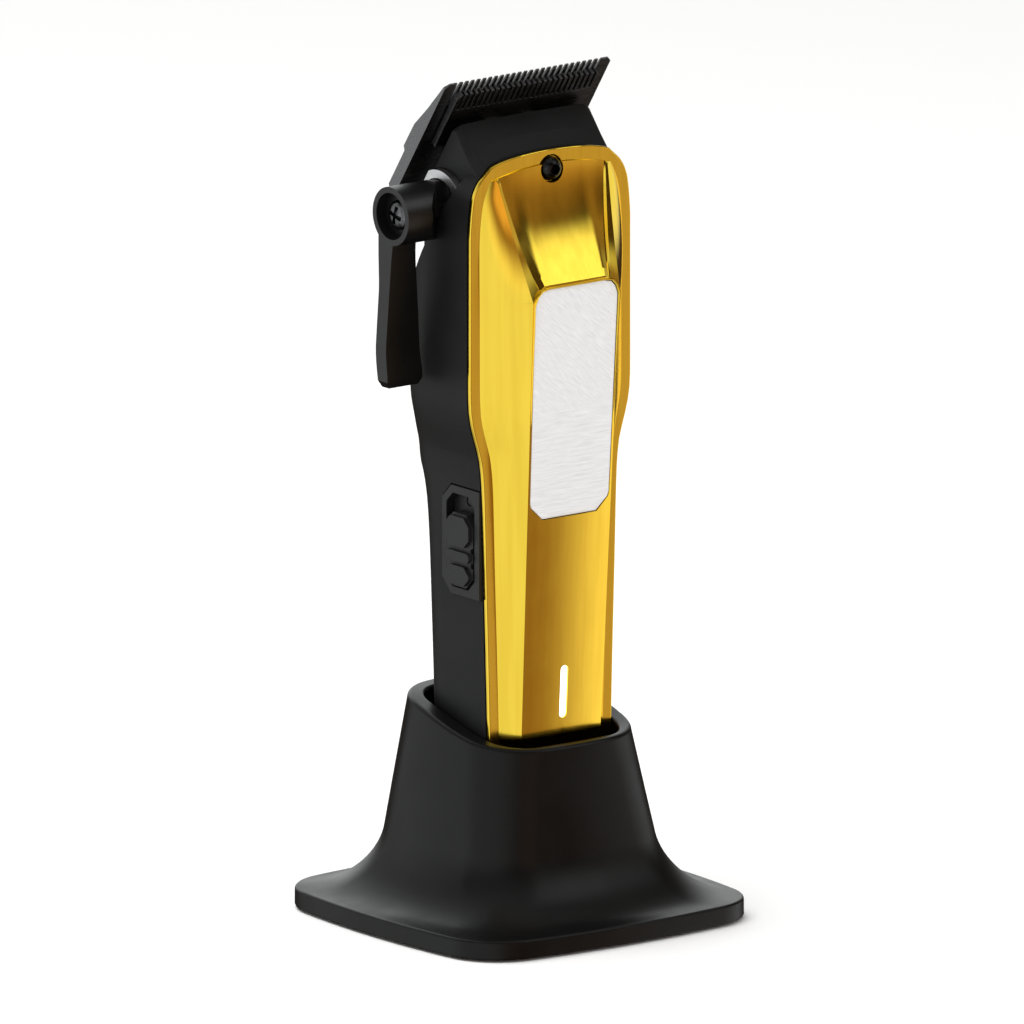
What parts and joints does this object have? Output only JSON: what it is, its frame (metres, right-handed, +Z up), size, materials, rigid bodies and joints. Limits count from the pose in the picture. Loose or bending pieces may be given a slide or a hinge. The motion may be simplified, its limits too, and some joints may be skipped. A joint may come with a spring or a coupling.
{
  "type": "hair clipper",
  "caption": "Cordless hair clipper with a polished gold front, slanted blade set and side taper lever, standing in its flared charging stand.",
  "frame": {"origin": "middle of the stand's underside, on the surface it stands on", "axes": "+Z up along the clipper, front of the clipper towards -Y, taper lever on the -X side"},
  "size_m": [0.0854, 0.0854, 0.1994],
  "materials": {
    "soft_black_plastic": "soft matt, lightly textured",
    "gold_metal": "polished gold plating, mirror-like",
    "brushed_white_panel": "fine brushed, silver white",
    "light_diffuser": "lit white",
    "black_blade_steel": "black hard coating, semi-gloss",
    "bright_steel": "satin",
    "brass_contact": "bright",
    "rubber_black": "matt",
    "circuit_board": "solder-mask green",
    "cell_wrap": "shrink sleeve",
    "white_plastic": "plain moulded"
  },
  "bodies": {
    "stand": {"stand_shell": "soft_black_plastic", "stand_base_plate": "soft_black_plastic", "rubber_sole": "rubber_black", "stand_screw_1": "bright_steel", "stand_screw_2": "bright_steel", "stand_screw_3": "bright_steel", "stand_screw_4": "bright_steel", "stand_weight": "bright_steel", "stand_board": "circuit_board", "charge_pin_holder": "white_plastic", "charge_inlet": "bright_steel"},
    "charge_pin_left": {"charge_pin_left": "brass_contact"},
    "charge_pin_right": {"charge_pin_right": "brass_contact"},
    "clipper": {"rear_housing": "soft_black_plastic", "front_cover": "gold_metal", "insert_panel": "brushed_white_panel", "light_bar": "light_diffuser", "cover_screw": "black_blade_steel", "bottom_cap": "soft_black_plastic", "charge_contact_left": "brass_contact", "charge_contact_right": "brass_contact", "rear_screw_lower": "black_blade_steel", "rear_screw_upper": "black_blade_steel", "inner_frame": "white_plastic", "battery_cell": "cell_wrap", "control_board": "circuit_board", "light_led": "white_plastic", "slide_contact_switch": "bright_steel", "switch_bezel": "soft_black_plastic", "motor_can": "bright_steel", "motor_end_cap": "white_plastic", "motor_mount": "white_plastic", "front_bearing": "brass_contact", "lever_side_plate": "bright_steel", "blade_mount": "black_blade_steel"},
    "rotor": {"motor_shaft": "bright_steel", "eccentric_cam": "bright_steel"},
    "power_switch": {"power_switch": "soft_black_plastic"},
    "taper_lever": {"taper_lever": "soft_black_plastic", "lever_screw": "black_blade_steel", "lever_cam": "bright_steel"},
    "fixed_blade": {"fixed_blade": "black_blade_steel", "blade_screw_left": "black_blade_steel", "blade_screw_right": "black_blade_steel"},
    "cutter": {"cutter_blade": "black_blade_steel", "drive_yoke": "white_plastic"}
  },
  "joints": [
    {"name": "clipper_lift", "type": "slide", "parent": "stand", "child": "clipper", "axis": [0, 0, 1], "range_m": [0, 0.05]},
    {"name": "power_switch_slide", "type": "slide", "parent": "clipper", "child": "power_switch", "axis": [0, 0, 1], "range_m": [0, 0.004]},
    {"name": "taper_lever_turn", "type": "hinge", "parent": "clipper", "child": "taper_lever", "pos_m": [-0.03, 0.0027, 0.1686], "axis": [1, 0, 0], "range_deg": [0, 45]},
    {"name": "fixed_blade_slide", "type": "slide", "parent": "clipper", "child": "fixed_blade", "axis": [0, -0.5592, 0.829], "range_m": [0, 0.002]},
    {"name": "cutter_stroke", "type": "slide", "parent": "clipper", "child": "cutter", "axis": [1, 0, 0], "range_m": [-0.0009, 0.0009]},
    {"name": "motor_spin", "type": "hinge", "parent": "clipper", "child": "rotor", "pos_m": [0, 0.0026, 0.14], "axis": [0, 0, 1], "continuous": true},
    {"name": "charge_pin_left_press", "type": "slide", "parent": "stand", "child": "charge_pin_left", "axis": [0, 0, -1], "range_m": [0, 0.0011], "stiffness_N_per_m": 200},
    {"name": "charge_pin_right_press", "type": "slide", "parent": "stand", "child": "charge_pin_right", "axis": [0, 0, -1], "range_m": [0, 0.0011], "stiffness_N_per_m": 200}
  ],
  "couplings": [
    {"joint": "taper_lever_turn", "follows": "fixed_blade_slide", "rad_per_m": 392.69}
  ]
}
